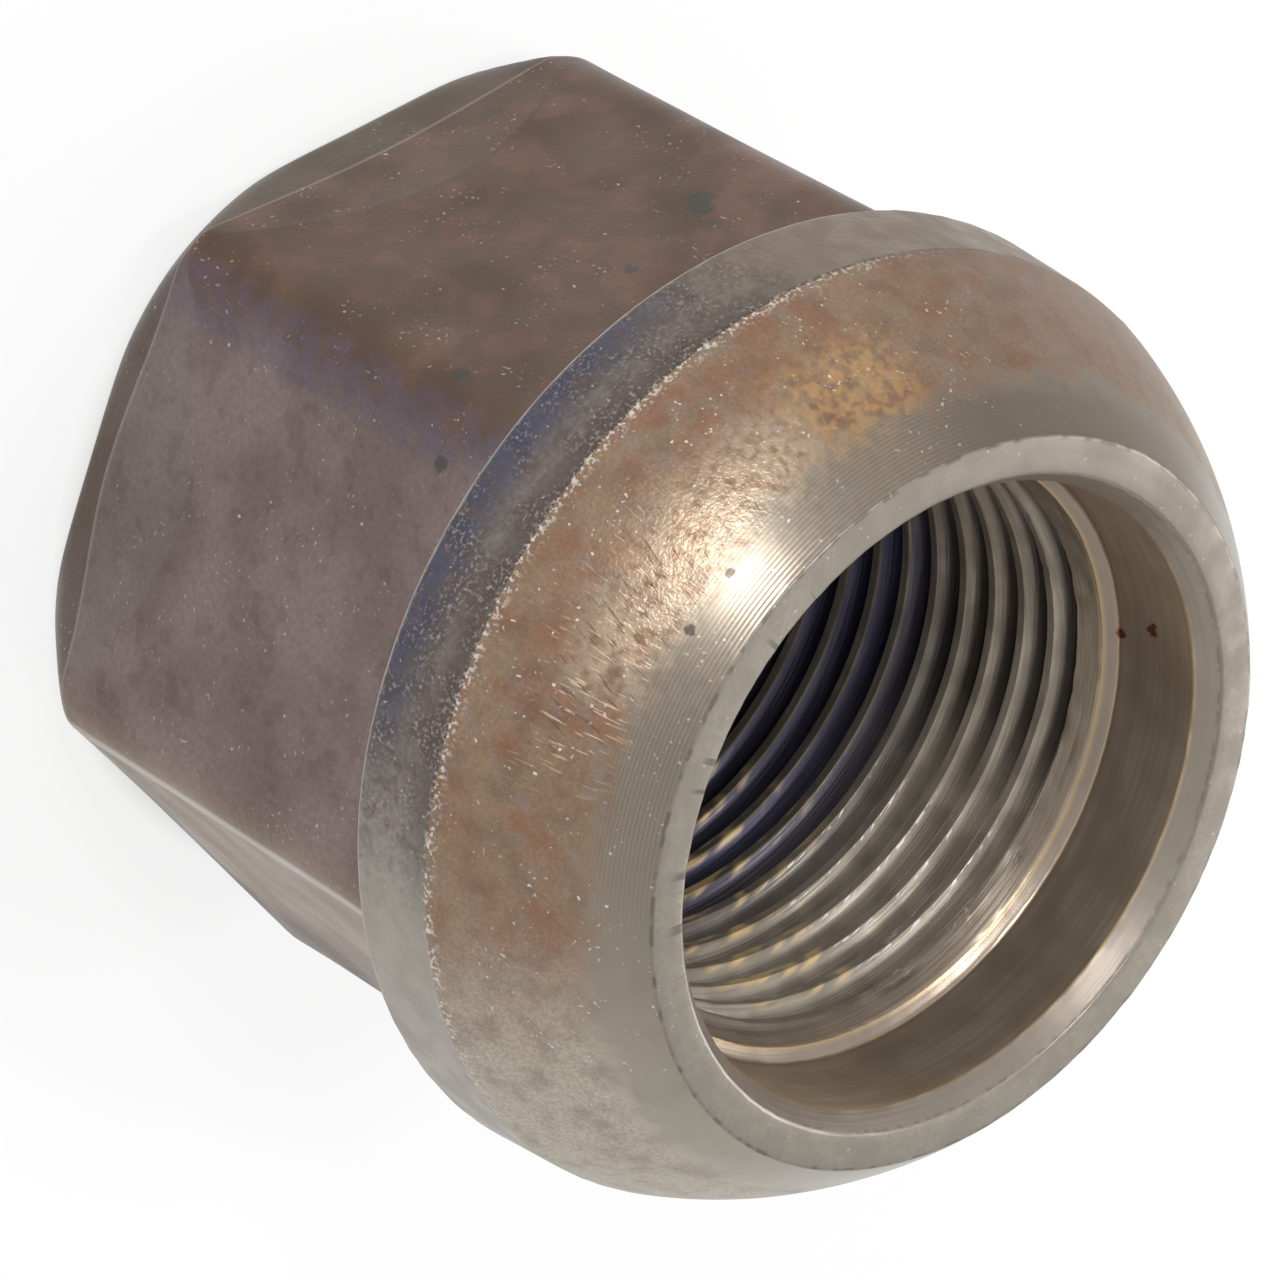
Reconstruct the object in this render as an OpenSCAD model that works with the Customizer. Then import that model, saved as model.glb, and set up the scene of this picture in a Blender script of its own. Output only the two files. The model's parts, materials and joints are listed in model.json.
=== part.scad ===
// Open-end lug nut with a ball seat: a hex body, a round collar whose front is
// part of a sphere, and a counterbored mouth that leads a stud into the thread.
// The nut stands on its hex end, with the thread's axis up Z and the mouth on top.

/* [Hex body] */
// Width across the flats
hex_af = 29.3; // [25:0.1:30]
// Height of the hex, from its end face to the collar
hex_h = 19.8; // [12:0.1:30]
// Radius of the rounded corners of the hex
hex_corner_r = 2.1; // [0.6:0.1:4]
// How far the turned chamfer on the hex end brings in the corners
end_chamfer_w = 1.85; // [0.8:0.05:2.6]
// Slope of that chamfer, in degrees from the end face
end_chamfer_angle = 56; // [30:1:65]
// Lean of the flats towards the hex end, in degrees
flat_lean = 4; // [1:0.5:8]
// Height at which that lean begins, in the middle of a flat
lean_h = 5.9; // [3:0.1:9]
// Radius of the leaning part across a flat
lean_r = 124; // [60:1:300]

/* [Collar] */
// Diameter of the collar at its back edge
collar_d = 34.6; // [34:0.1:35.6]
// Height of the collar, from its back edge to the mouth
collar_h = 10.2; // [7:0.1:11]
// Taper of the collar's rim towards the ridge, in degrees
rim_taper = 4; // [0:0.5:10]
// Width of the broken edge at the back of the rim
rim_break = 0.3; // [0.1:0.05:0.6]
// Radius of the ball seat
ball_r = 18; // [17.5:0.1:20]
// How far the ball's centre lies behind the collar's back edge
ball_back = 2.2; // [0:0.1:3]

/* [Mouth] */
// Clearance of the counterbore over the thread, on the diameter
counterbore_clearance = 0.4; // [0.1:0.05:1]
// Depth of the counterbore below the mouth's end face
counterbore_depth = 4.5; // [2.5:0.1:8]
// Radial width of the chamfer at the mouth
mouth_chamfer_w = 0.55; // [0.2:0.05:0.9]
// Height of the chamfer at the mouth
mouth_chamfer_h = 0.8; // [0.3:0.05:1.5]

/* [Thread] */
// Nominal diameter of the thread
thread_d = 22; // [16:0.5:23]
// Pitch of the thread
thread_pitch = 1.5; // [1:0.25:2]
// Included angle of the cones that lead into the thread, in degrees
lead_angle = 120; // [90:5:130]
// Clearance of the cone at the hex end over the thread, on the diameter
end_sink_clearance = 0.8; // [0.2:0.1:1.6]

/* [Hidden] */
$fn = 180;
// Room by which a cutting shape passes the face that it opens
cut = 1;
// Depth of the thread's fundamental profile, as a share of the pitch
thread_depth_ratio = 5 / 8 * cos(30);

// The hex and the cone on its end
flat_l = (hex_af - 2 * hex_corner_r) * tan(30);
corner_c = (hex_af / 2 - hex_corner_r) / cos(30);
hex_out_r = corner_c + hex_corner_r;
end_r = hex_out_r - end_chamfer_w;
chamfer_r = hex_out_r + cut;
chamfer_h = (chamfer_r - end_r) * tan(end_chamfer_angle);

// The collar and the ball that its seat is cut from
collar_r = collar_d / 2;
nut_h = hex_h + collar_h;
ball_z = hex_h - ball_back;
rim_fall = tan(rim_taper);

// The bore, cut at the thread's minor diameter, and the cones at its two ends
bore_r = thread_d / 2 - thread_depth_ratio * thread_pitch;
counterbore_r = (thread_d + counterbore_clearance) / 2;
mouth_r = counterbore_r + mouth_chamfer_w;
end_sink_r = (thread_d + end_sink_clearance) / 2;
lead_slope = 1 / tan(lead_angle / 2);
counterbore_z = nut_h - counterbore_depth;
entry_z = counterbore_z - (counterbore_r - bore_r) * lead_slope;
end_sink_h = (end_sink_r - bore_r) * lead_slope;

// Hexagonal bar with round corners that run tangent into the flats
module rounded_hex(h) {
  for (turn = [0:60:120])
    rotate([0, 0, turn])
      translate([-flat_l / 2, -hex_af / 2, 0])
        cube([flat_l, hex_af, h]);
  for (turn = [0:60:300])
    rotate([0, 0, turn])
      translate([corner_c, 0, 0])
        cylinder(r = hex_corner_r, h = h);
}

// Wide shallow scoops that lean each flat in towards the hex end, up to a curved crease
module flat_scoops() {
  for (turn = [30:60:330])
    rotate([0, 0, turn])
      translate([hex_af / 2, 0, lean_h])
        rotate([0, flat_lean, 0])
          translate([lean_r, 0, -lean_h - 2 * cut])
            cylinder(r = lean_r, h = lean_h + 3 * cut);
}

// Hex body, with the cone that takes the corners off at its end
module hex_body() {
  body_top = hex_h + collar_h / 4;
  difference() {
    intersection() {
      rounded_hex(body_top);
      rotate_extrude()
        polygon([
          [0, 0],
          [end_r, 0],
          [chamfer_r, chamfer_h],
          [chamfer_r, body_top + cut],
          [0, body_top + cut]
        ]);
    }
    flat_scoops();
  }
}

// Collar: a slightly tapered rim, which meets the ball seat at the ridge
module collar() {
  intersection() {
    rotate_extrude()
      polygon([
        [0, hex_h],
        [collar_r - rim_break, hex_h],
        [collar_r - rim_break * rim_fall, hex_h + rim_break],
        [collar_r - collar_h * rim_fall, nut_h],
        [0, nut_h]
      ]);
    translate([0, 0, ball_z])
      sphere(r = ball_r);
  }
}

// Everything that is cut out along the axis, from the hex end up to the mouth
module bore_cut() {
  rotate_extrude()
    polygon([
      [0, -cut],
      [end_sink_r, -cut],
      [end_sink_r, 0],
      [bore_r, end_sink_h],
      [bore_r, entry_z],
      [counterbore_r, counterbore_z],
      [counterbore_r, nut_h - mouth_chamfer_h],
      [mouth_r, nut_h],
      [mouth_r, nut_h + cut],
      [0, nut_h + cut]
    ]);
}

module lug_nut() {
  color("#6b5648")
    difference() {
      union() {
        hex_body();
        collar();
      }
      bore_cut();
    }
}

lug_nut();
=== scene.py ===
import json
import math

import bpy
import numpy as np
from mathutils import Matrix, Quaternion, Vector, noise


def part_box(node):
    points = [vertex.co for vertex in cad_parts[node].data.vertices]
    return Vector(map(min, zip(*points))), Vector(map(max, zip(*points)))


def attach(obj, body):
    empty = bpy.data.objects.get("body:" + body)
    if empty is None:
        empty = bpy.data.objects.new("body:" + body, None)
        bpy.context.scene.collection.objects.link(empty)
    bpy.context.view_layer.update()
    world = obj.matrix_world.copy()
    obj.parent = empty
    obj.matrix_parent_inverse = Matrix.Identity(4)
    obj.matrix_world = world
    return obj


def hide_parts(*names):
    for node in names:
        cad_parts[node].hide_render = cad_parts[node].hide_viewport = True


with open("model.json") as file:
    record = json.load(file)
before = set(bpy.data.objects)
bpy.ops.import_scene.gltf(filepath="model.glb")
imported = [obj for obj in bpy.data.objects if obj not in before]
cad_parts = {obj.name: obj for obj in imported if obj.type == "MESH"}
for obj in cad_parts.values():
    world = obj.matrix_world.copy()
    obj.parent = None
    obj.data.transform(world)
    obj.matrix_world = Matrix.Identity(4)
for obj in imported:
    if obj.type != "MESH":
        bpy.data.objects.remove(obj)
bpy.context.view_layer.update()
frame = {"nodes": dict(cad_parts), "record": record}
mm = 0.001  # sizes below are millimetres, and the finished mesh is scaled to metres
print("frame loaded:", sorted(frame["nodes"]))

# The frame gives the nut's height, its two bores and the centre of the ball seat
mounts = {mount["name"]: mount for mount in frame["record"]["mounts"]}
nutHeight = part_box("lug_nut")[1].z / mm
minorRadius = mounts["thread"]["dims"]["r_mm"]
counterboreRadius = mounts["counterbore"]["dims"]["r_mm"]
ballHeight = mounts["ball_seat"]["pos_m"][2] / mm

zones = ["hex", "rim", "seat", "face", "bore", "thread"]  # one material each
marks = ["wear", "groove", "lean", "cone"]  # what the materials read at each point of the mesh, from 0 to 1
noiseStep = (7.3, 3.1, 5.7)  # each seed's noise lies this much further along


def wobble(points, size, seed):
    # smooth noise from -1 to 1 over points in mm, with bumps about as wide as size
    shift = Vector([seed * step for step in noiseStep])
    return np.array([noise.noise(Vector(p) / size + shift) for p in points])


def ringPoints(angles, radius, height):
    angles, radius, height = np.broadcast_arrays(angles, radius, height)
    return np.column_stack([radius * np.cos(angles), radius * np.sin(angles), height])


def makeRing(angles, radius, height, **marked):
    points = ringPoints(angles, radius, height)
    ring = {"angles": np.asarray(angles), "points": points}
    for name in marks:
        ring[name] = np.full(len(points), marked.get(name, 0.0))
    return ring


# Hex body, from the edge of the hole in its end face up to the collar
hexBody = {
    "acrossFlats": 29.3,
    "height": 19.8,
    "cornerRadius": 2.1,
    # the end face's edge, and the heights of the chamfer's worn top line, every 30 degrees
    "endRadii": [14.8, 14.4, 14.8, 14.5, 15.2, 14.4, 14.72, 14.22, 14.9, 14.4, 14.8, 14.4],
    "lines": [2.5, 1.8, 2.5, 2.0, 2.06, 2.3, 2.05, 1.2, 2.5, 1.5, 2.5, 1.8],
    "coneBlend": 0.35,  # how softly that chamfer runs into the flats
    "flatLean": 4,  # above the chamfer the flats lean in towards the end
    "leanHeight": 5.9,  # where the lean begins, in the middle of a flat
    "leanRadius": 124,  # of the leaning part across a flat
    "edgeSoft": 0.16,  # half the width of a worn edge
    "rootFillet": 0.3,  # fillet between the flats and the collar
    "flatColumns": 32,
    "arcColumns": 8,
    # rows of the mesh, as shares of the end face, the chamfer and the leaning part, and how many on a flat
    "faceRows": (0.08, 0.3, 0.6, 0.85),
    "chamferRows": (0.1, 0.3, 0.5, 0.7, 0.85, 0.95),
    "leanRows": (0.04, 0.15, 0.35, 0.6, 0.8, 0.95),
    "flatRows": 20,
    "flatWave": 0.035,  # forged flats are never quite flat
    "waveSize": 6.0,
    "waveFade": 2.0,  # and the wave dies away this near their ends
}
halfFlats = hexBody["acrossFlats"] / 2
cornerCentre = (halfFlats - hexBody["cornerRadius"]) / math.cos(math.pi / 6)
leanSlope = math.tan(math.radians(hexBody["flatLean"]))


def hexColumnAngles():
    swing = np.radians(np.linspace(-30, 30, hexBody["arcColumns"] + 1))
    corner = hexBody["cornerRadius"]
    arc = np.arctan2(corner * np.sin(swing), cornerCentre + corner * np.cos(swing))
    flat = np.linspace(arc[-1], math.pi / 3 + arc[0], hexBody["flatColumns"] + 1)
    sector = np.concatenate([arc[:-1], flat[:-1]])
    return np.concatenate([sector + turn * math.pi / 3 for turn in range(6)])


def hexRadius(angles):
    off = np.abs((angles + math.pi / 6) % (math.pi / 3) - math.pi / 6)  # from the nearest corner
    corner = hexBody["cornerRadius"]
    roundOff = math.atan2(corner * math.sin(math.pi / 6), cornerCentre + corner * math.cos(math.pi / 6))
    flat = halfFlats / np.cos(math.pi / 6 - off)
    inside = np.maximum(corner**2 - (cornerCentre * np.sin(off)) ** 2, 0)
    return np.where(off < roundOff, cornerCentre * np.cos(off) + np.sqrt(inside), flat)


def acrossFlat(angles):
    # from the middle of the nearest flat, along that flat
    return halfFlats * np.tan(angles % (math.pi / 3) - math.pi / 6)


def leaningRadius(angles, height):
    # the wide shallow scoop by which a flat leans in, or the plain hex where that is smaller
    inward = (hexBody["leanHeight"] - height) * leanSlope
    inward = inward - acrossFlat(angles) ** 2 / (2 * hexBody["leanRadius"])
    scoop = (halfFlats - inward) / np.cos(angles % (math.pi / 3) - math.pi / 6)
    return np.minimum(hexRadius(angles), scoop)


def aroundEnd(values, angles):
    # runs smoothly through values that are given every 30 degrees
    turns = np.degrees(angles) % 360 / 30
    index, share = turns.astype(int), (1 - np.cos(math.pi * (turns % 1))) / 2
    closed = np.array(values + values[:1])
    return closed[index] + (closed[index + 1] - closed[index]) * share


def endSurface(angles, height):
    # the turned chamfer or the leaning flat, whichever is smaller, blended where they meet
    corners = hexRadius(np.radians(np.arange(12) // 2 * 60))
    # right at the corners, where the chamfer is cut, and between two corners their mean
    slopes = (corners - hexBody["endRadii"]) / hexBody["lines"]
    slopes[1::2] = (slopes[0::2] + np.roll(slopes[0::2], -1)) / 2
    cone = aroundEnd(hexBody["endRadii"], angles) + height * aroundEnd(list(slopes), angles)
    flat = leaningRadius(angles, height)
    blend = hexBody["coneBlend"]
    near = np.maximum(0, 1 - np.abs(cone - flat) / blend)
    return np.minimum(cone, flat) - near**2 * blend / 4


def hexRings(holeRadius):
    angles = hexColumnAngles()
    full = hexRadius(angles)
    soft = hexBody["edgeSoft"]
    line = aroundEnd(hexBody["lines"], angles)
    crease = hexBody["leanHeight"] - acrossFlat(angles) ** 2 / (2 * hexBody["leanRadius"] * leanSlope)
    crease = np.maximum(crease, line + 3 * soft)  # at the corners, where no flat leans
    endEdge = endSurface(angles, soft)
    face = [holeRadius + (endEdge - holeRadius) * share for share in hexBody["faceRows"]]
    rings = [makeRing(angles, radius, 0.0) for radius in face + [endEdge - 1.5 * soft]]
    rings.append(makeRing(angles, endEdge - soft / 2, soft / 3, wear=0.5, cone=1.0))
    for share in hexBody["chamferRows"]:
        height = soft + (line - soft) * share
        rings.append(makeRing(angles, endSurface(angles, height), height, cone=1.0))
    rings.append(makeRing(angles, endSurface(angles, line), line, wear=1.0, cone=0.5, lean=0.5))
    for share in hexBody["leanRows"]:
        height = line + (crease - line) * share
        rings.append(makeRing(angles, endSurface(angles, height), height, lean=1.0))
    rings.append(makeRing(angles, endSurface(angles, crease), crease, groove=1.0, lean=0.5))
    rootHeight = hexBody["height"] - hexBody["rootFillet"]
    ease = hexBody["waveFade"]
    for share in np.linspace(0, 1, hexBody["flatRows"]):
        height = crease + soft + (rootHeight - crease - soft) * share
        fade = np.minimum(1, (height - crease - soft) / ease) * np.minimum(1, (rootHeight - height) / ease)
        ring = makeRing(angles, full, height)
        dip = hexBody["flatWave"] * fade * (wobble(ring["points"], hexBody["waveSize"], 1) - 1)
        ring["points"] = ringPoints(angles, full + dip, height)
        rings.append(ring)
    fillet = hexBody["rootFillet"]
    for swing in np.radians([30, 60, 90]):
        radius = full + fillet * (1 - math.cos(swing))
        rings.append(makeRing(angles, radius, rootHeight + fillet * math.sin(swing)))
    return rings


# Collar with the ball seat, then over the mouth and down the counterbore to the first turn of the thread
collar = {
    "diameter": 34.6,
    "rimTaper": 4,
    "backBreak": 0.3,
    "ballRadius": 18.0,
    "ridgeFillet": 1.2,
    "backFillet": 0.35,
    "columns": 384,
    "seatStep": 0.2,  # length of one facet along the seat's arc
    "rowGap": 0.4,
    "wearReach": 0.13,
    "ridgeBatter": 0.03,  # how far knocks push the rim's edges in and out
    "batterTop": 2.0,  # but not this near the end face
    "batterSize": 0.6,
    "seatWave": 0.015,
    "waveSize": 4.0,
}
mouth = {
    "chamferWidth": 0.55,
    "chamferHeight": 0.8,
    "counterboreDepth": 4.5,
    "outerFillet": 0.16,
    "innerFillet": 0.2,
    "wallFillet": 0.3,  # between the chamfer and the counterbore
    "floorFillet": 0.25,
    "edgeTear": 0.03,  # ragged turned edges
    "tearSize": 0.5,
}
lead = {
    "coneAngle": 120,  # the cone at the counterbore's floor
    "edgeRadius": 10.72,  # where it ends, at a sharp edge
    "edgeFillet": 0.05,
    "innerAngle": 61,  # the narrower cone that the tap cut below that edge
    "innerStep": 0.12,
}
collarRadius = collar["diameter"] / 2
rimFall = math.tan(math.radians(collar["rimTaper"]))
counterboreFloor = nutHeight - mouth["counterboreDepth"]
mouthRadius = counterboreRadius + mouth["chamferWidth"]
faceRadius = math.sqrt(collar["ballRadius"] ** 2 - (nutHeight - ballHeight) ** 2)
leadSlope = math.tan(math.radians(lead["coneAngle"] / 2))
innerSlope = math.tan(math.radians(lead["innerAngle"] / 2))
leadEdgeHeight = counterboreFloor - (counterboreRadius - lead["edgeRadius"]) / leadSlope
threadTop = leadEdgeHeight - lead["innerStep"]
threadTopRadius = lead["edgeRadius"] - lead["innerStep"] * innerSlope


def ridgePoint():
    # where the tapered rim meets the ball, found by halving
    low, high = hexBody["height"], nutHeight
    for step in range(60):
        middle = (low + high) / 2
        rim = collarRadius - (middle - hexBody["height"]) * rimFall
        ball = math.sqrt(collar["ballRadius"] ** 2 - (middle - ballHeight) ** 2)
        low, high = (middle, high) if ball > rim else (low, middle)
    return rim, middle


ridgeRadius, ridgeHeight = ridgePoint()


def filletedPath(corners, gap):
    # corners hold radius, height and fillet; gives points, and how near each is to a filleted edge
    points, edges = [], []
    for index, (radius, height, fillet) in enumerate(corners):
        here = Vector((radius, height))
        if fillet == 0:
            points.append(here)
            continue
        before = (Vector(corners[index - 1][:2]) - here).normalized()
        after = (Vector(corners[index + 1][:2]) - here).normalized()
        turn = math.pi - before.angle(after)
        tangent = fillet * math.tan(turn / 2)
        centre = here + (before + after).normalized() * fillet / math.cos(turn / 2)
        start, end = here + before * tangent - centre, here + after * tangent - centre
        for share in (0, 0.25, 0.5, 0.75, 1):  # four facets to a fillet
            ray = start * (1 - share) + end * share
            points.append(centre + ray.normalized() * fillet)
        edges.append(here)
    filled = [points[0]]
    for point in points[1:]:
        steps = max(1, math.ceil((point - filled[-1]).length / gap))
        start = filled[-1]
        filled += [start.lerp(point, step / steps) for step in range(1, steps + 1)]
    nearest = [min((point - edge).length for edge in edges) for point in filled]
    return filled, nearest


def collarRings():
    angles = np.linspace(0, 2 * math.pi, collar["columns"], endpoint=False) + hexColumnAngles()[0]
    backRadius = collarRadius - collar["backBreak"]
    backTop = hexBody["height"] + collar["backBreak"]
    ball = collar["ballRadius"]
    startSwing = math.asin((ridgeHeight - ballHeight) / ball)
    endSwing = math.asin((nutHeight - ballHeight) / ball)
    steps = int(ball * (endSwing - startSwing) / collar["seatStep"])
    # the facets next to a fillet are left out, to make room for it
    swings = np.linspace(startSwing, endSwing, steps)[2:-1]
    corners = [
        (backRadius, hexBody["height"], 0),
        (collarRadius - collar["backBreak"] * rimFall, backTop, collar["backFillet"]),
        (ridgeRadius, ridgeHeight, collar["ridgeFillet"]),
        *[(ball * math.cos(swing), ballHeight + ball * math.sin(swing), 0) for swing in swings],
        (faceRadius, nutHeight, mouth["outerFillet"]),
        (mouthRadius, nutHeight, mouth["innerFillet"]),
        (counterboreRadius, nutHeight - mouth["chamferHeight"], mouth["wallFillet"]),
        (counterboreRadius, counterboreFloor, mouth["floorFillet"]),
        (lead["edgeRadius"], leadEdgeHeight, lead["edgeFillet"]),
        (threadTopRadius, threadTop, 0),
    ]
    path, nearest = filletedPath(corners, collar["rowGap"])
    rings = []
    for point, distance in zip(path[:-1], nearest):
        radius, height = point
        edge = math.exp(-((distance / collar["wearReach"]) ** 2))
        ring = makeRing(angles, radius, height, wear=edge)
        wave = collar["seatWave"] * wobble(ring["points"], collar["waveSize"], 2)
        if height < nutHeight - collar["batterTop"] and radius > faceRadius:
            batter = collar["ridgeBatter"] * wobble(ring["points"], collar["batterSize"], 3)
        else:
            batter = mouth["edgeTear"] * wobble(ring["points"], mouth["tearSize"], 4)
        ring["points"] = ringPoints(angles, radius + wave + edge * batter, height)
        rings.append(ring)
    return rings


# Right-hand thread, cut along its own helix, that runs out below the lead cones
thread = {
    "majorRadius": 11.0,
    "pitch": 1.5,
    "crestHeight": 22.73,  # lower edge of one crest where the helix crosses +X
    "columns": 192,
    "sinkClearance": 0.4,  # the cone at the hex end is this much wider than the thread
    "edgeRound": 0.02,  # share of the pitch
    "runOut": (1.2, 0.5),  # below the counterbore's floor the groove goes from full depth to none
    "chips": 0.14,  # torn edges of the first crests
    "chipSize": 0.45,
    "chipReach": 4.0,
    "chipDepth": 0.2,  # share of the groove's depth that they go down to
    "snap": 0.03,  # rows this near an end of the bore are joined to it
    "spareTurns": 2,  # past each end, so that every column is full
}
threadDepth = thread["majorRadius"] - minorRadius
sinkRadius = thread["majorRadius"] + thread["sinkClearance"]


def threadRows():
    # one pitch of the basic profile: crest, flank, root and flank, as shares of pitch and depth
    crest, flank, root = 1 / 4, 5 / 16, 1 / 8
    soft = thread["edgeRound"]
    fall = soft / flank  # share of the depth that the flank falls over one soft edge
    return [
        (soft, 0.0),
        (crest / 2, 0.0),
        (crest - soft, 0.0),
        (crest + soft, fall),
        (crest + flank / 3, 1 / 3),
        (crest + flank * 2 / 3, 2 / 3),
        (crest + flank - soft, 1 - fall),
        (crest + flank + root / 2, 1.0),
        (crest + flank + root + soft, 1 - fall),
        (crest + flank * 4 / 3 + root, 2 / 3),
        (crest + flank * 5 / 3 + root, 1 / 3),
        (1 - soft, fall),
    ]


def threadPoint(angle, height, depth):
    # radius of the surface there, and how deep it lies in the groove, from 0 to 1
    spot = Vector((math.cos(angle) * minorRadius, math.sin(angle) * minorRadius, height))
    low, high = thread["runOut"]
    left = min(1.0, max(0.0, (counterboreFloor - height - high) / (low - high)))
    nearTop = max(0.0, 1 - (threadTop - height) / thread["chipReach"])
    chip = thread["chips"] * nearTop * max(0.0, noise.noise(spot / thread["chipSize"]))
    if depth >= thread["chipDepth"]:
        chip = 0.0
    inner = threadTopRadius - (threadTop - height) * innerSlope
    sink = sinkRadius - height * leadSlope
    around = max(minorRadius, inner, sink)
    radius = max(minorRadius + depth * left * threadDepth, around) + chip
    return min(radius, sinkRadius), (radius - around) / threadDepth


def threadGrid(firstIndex):
    # columns of points from end to end; rows follow the helix, so one turn shifts them by a pitch
    rows = threadRows()
    pitch, spare = thread["pitch"], thread["spareTurns"]
    count, shift = thread["columns"], len(rows)
    angles = np.linspace(0, 2 * math.pi, count, endpoint=False) + hexColumnAngles()[0]
    top = makeRing(angles, threadTopRadius, threadTop)
    bottom = makeRing(angles, sinkRadius, 0.0)
    topIds = firstIndex + np.arange(count)
    bottomIds = topIds + count
    points, grooves, nextIndex = [], [], firstIndex + 2 * count
    lowTurn = -math.ceil((thread["crestHeight"] + spare * pitch) / pitch)
    highTurn = math.ceil((threadTop - thread["crestHeight"]) / pitch) + spare
    order = [(turn, share, depth) for turn in range(lowTurn, highTurn) for share, depth in rows]
    columns = []
    for column, angle in enumerate(angles):
        start = thread["crestHeight"] + pitch * angle / (2 * math.pi)
        ids = []
        for turn, share, depth in order:
            height = start + pitch * (turn + share)
            if height > threadTop - thread["snap"]:
                ids.append(topIds[column])
            elif height < thread["snap"]:
                ids.append(bottomIds[column])
            else:
                radius, groove = threadPoint(angle, height, depth)
                points.append((radius * math.cos(angle), radius * math.sin(angle), height))
                grooves.append(groove)
                ids.append(nextIndex)
                nextIndex += 1
        columns.append(ids)
    faces = []
    for column in range(count):
        here, there = columns[column], columns[(column + 1) % count]
        skip = shift if column == count - 1 else 0
        for row in range(len(order) - 1 - skip):
            loop = [here[row + 1], there[row + 1 + skip], there[row + skip], here[row]]
            corners = list(dict.fromkeys(loop))
            if len(corners) > 2:
                faces.append(corners)
    return top, bottom, np.array(points), grooves, faces


def bridge(lower, upper, lowerIds, upperIds):
    # faces between two rings: quads where the columns match, and otherwise triangles in order of angle
    count, other = len(lowerIds), len(upperIds)
    if count == other and np.allclose(lower["angles"], upper["angles"]):
        return [
            [lowerIds[k], lowerIds[(k + 1) % count], upperIds[(k + 1) % count], upperIds[k]]
            for k in range(count)
        ]
    lowerTurn = np.append(lower["angles"], lower["angles"][0] + 2 * math.pi)
    upperTurn = np.append(upper["angles"], upper["angles"][0] + 2 * math.pi)
    faces, a, b = [], 0, 0
    while a < count or b < other:
        stepLower = b == other or (a < count and lowerTurn[a + 1] <= upperTurn[b + 1])
        if stepLower:
            faces.append([lowerIds[a], lowerIds[(a + 1) % count], upperIds[b % other]])
            a += 1
        else:
            faces.append([lowerIds[a % count], upperIds[(b + 1) % other], upperIds[b]])
            b += 1
    return faces


# Knocks that dent edges: angle round the axis, height, width and depth
knockSkin = 1  # how far inside the flats a point may lie and still be knocked
knocks = [
    (179, 2.6, 0.6, 0.14),
    (184, 2.4, 0.5, 0.1),
    (122, 2.4, 0.8, 0.08),
    (241, 3.0, 0.8, 0.08),
    (300, 2.2, 0.9, 0.14),
    (2, 5.2, 0.9, 0.12),
    (61, 1.9, 1.0, 0.15),
    (310, 23.3, 0.8, 0.08),
    (78, 23.4, 0.7, 0.07),
    (30, 23.3, 1.0, 0.09),
]


def dent(points):
    radius = np.hypot(points[:, 0], points[:, 1])
    for angle, height, width, depth in knocks:
        turn = math.radians(angle)
        along = points[:, 0] * math.cos(turn) + points[:, 1] * math.sin(turn)
        aside = points[:, 1] * math.cos(turn) - points[:, 0] * math.sin(turn)
        far = np.hypot(aside, points[:, 2] - height) / width
        hit = (far < 1) & (along > halfFlats - knockSkin)
        push = np.where(hit, depth * (1 - np.minimum(far, 1) ** 2) ** 2, 0)
        points[:, 0] -= push * points[:, 0] / radius
        points[:, 1] -= push * points[:, 1] / radius
    return points


zoneSlack = {"rim": 0.01, "seat": 0.04, "face": 0.02}  # mm before a zone's end where the next takes over
sharpAngle = 34  # degrees between two faces from which their edge is drawn sharp


def zoneOf(ring):
    # which finish the collar's faces above this ring have
    radius, height = math.hypot(ring["points"][0][0], ring["points"][0][1]), ring["points"][0][2]
    if height < ridgeHeight - zoneSlack["rim"] and radius > faceRadius:
        return "rim"
    if radius > faceRadius + zoneSlack["seat"]:
        return "seat"
    return "face" if radius > mouthRadius - zoneSlack["face"] else "bore"


def buildNut():
    hexPart, collarPart = hexRings(sinkRadius), collarRings()
    rings = hexPart + collarPart
    ids, faces, zone, start = [], [], [], 0
    for ring in rings:
        ids.append(start + np.arange(len(ring["points"])))
        start += len(ring["points"])

    def addFaces(made, finish):
        faces.extend(made)
        zone.extend([zones.index(finish)] * len(made))

    for index in range(len(rings) - 1):
        finish = "hex" if index < len(hexPart) - 1 else zoneOf(rings[index])
        addFaces(bridge(rings[index], rings[index + 1], ids[index], ids[index + 1]), finish)
    top, bottom, points, grooves, turns = threadGrid(start)
    topIds = start + np.arange(len(top["points"]))
    bottomIds = topIds + len(topIds)
    addFaces(bridge(rings[-1], top, ids[-1], topIds), "bore")
    addFaces(bridge(bottom, rings[0], bottomIds, ids[0]), "hex")
    addFaces(turns, "thread")
    outside = dent(np.vstack([ring["points"] for ring in rings]))
    vertices = np.vstack([outside, top["points"], bottom["points"], points])
    values = {name: np.zeros(len(vertices), np.float32) for name in marks}
    for name in marks:
        values[name][: len(outside)] = np.concatenate([ring[name] for ring in rings])
    values["groove"][len(vertices) - len(grooves) :] = grooves

    mesh = bpy.data.meshes.new("lugNut")
    mesh.from_pydata((vertices * mm).tolist(), [], [[int(k) for k in face] for face in faces])
    mesh.polygons.foreach_set("material_index", zone)
    mesh.polygons.foreach_set("use_smooth", [True] * len(faces))
    for name in marks:
        mesh.attributes.new(name, "FLOAT", "POINT").data.foreach_set("value", values[name])
    mesh.set_sharp_from_angle(angle=math.radians(sharpAngle))
    mesh.update()
    nut = bpy.data.objects.new("lugNut", mesh)
    bpy.context.scene.collection.objects.link(nut)
    triangles = sum(len(face) - 2 for face in faces)
    print("nut mesh:", len(vertices), "points,", triangles, "triangles")
    return nut


nut = buildNut()


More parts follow.
